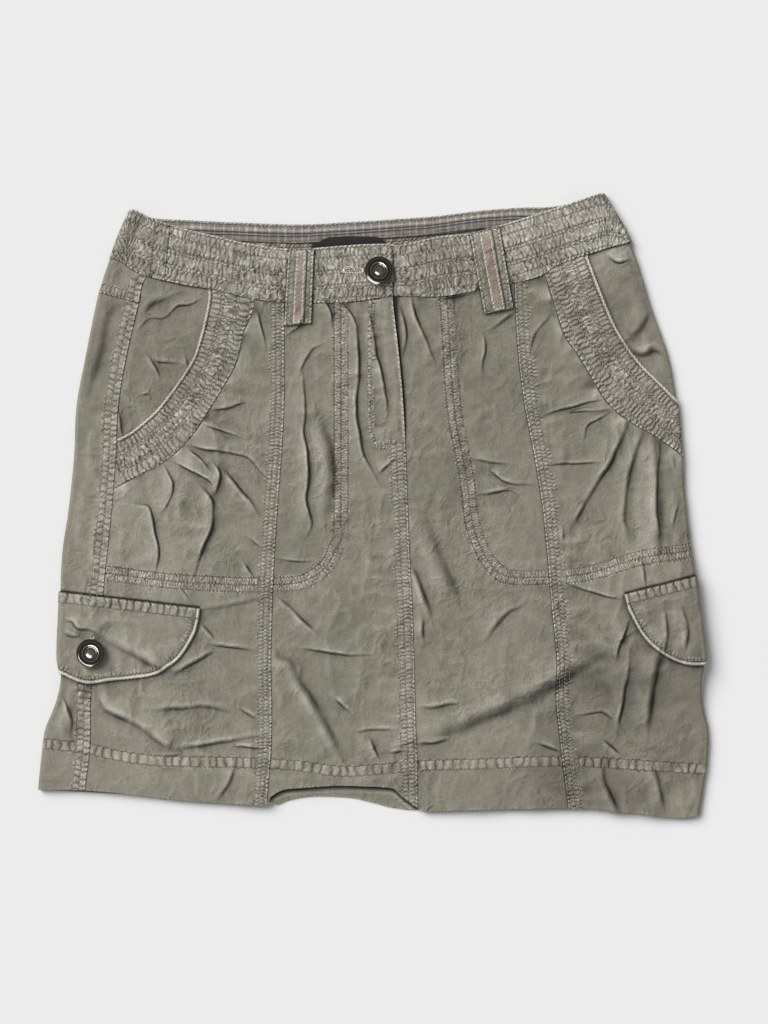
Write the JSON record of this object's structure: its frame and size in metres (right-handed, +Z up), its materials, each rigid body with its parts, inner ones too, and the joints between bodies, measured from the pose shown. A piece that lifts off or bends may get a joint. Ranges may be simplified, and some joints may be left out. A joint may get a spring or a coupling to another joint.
{
  "type": "chino skirt",
  "caption": "Cargo-style cotton mini skirt laid flat: waistband with belt loops, curved ruched pockets, side flaps, stitched panels and a plain hem.",
  "frame": {"origin": "middle of the outline on the surface that the skirt lies on", "axes": "+X across the skirt to the viewer's right, +Y towards the waist, +Z up out of the front"},
  "size_m": [0.5369, 0.5001, 0.0169],
  "materials": {
    "cloth": "matte garment-washed cotton twill",
    "check": "matte woven check",
    "tape": "matte twill tape",
    "metal": "dark gunmetal",
    "label": "satin woven label",
    "zip": "matte zip tape"
  },
  "bodies": {
    "root": {"back_panel": "cloth", "back_yoke": "cloth", "belt_loop_left": "cloth", "belt_loop_right": "cloth", "flap_button_left": "metal", "flap_button_right": "metal", "flap_left": "cloth", "flap_right": "cloth", "fly_underlap": "cloth", "front_left": "cloth", "front_right": "cloth", "label_main": "label", "label_size": "label", "loop_tape_left": "tape", "loop_tape_right": "tape", "pocket_bag_left": "cloth", "pocket_bag_right": "cloth", "pocket_band_left": "cloth", "pocket_band_right": "cloth", "side_panel_left": "cloth", "side_panel_right": "cloth", "waist_button": "metal", "waistband_back": "cloth", "waistband_facing": "check", "waistband_front_left": "cloth", "waistband_front_right": "cloth", "zip": "zip"}
  },
  "joints": []
}
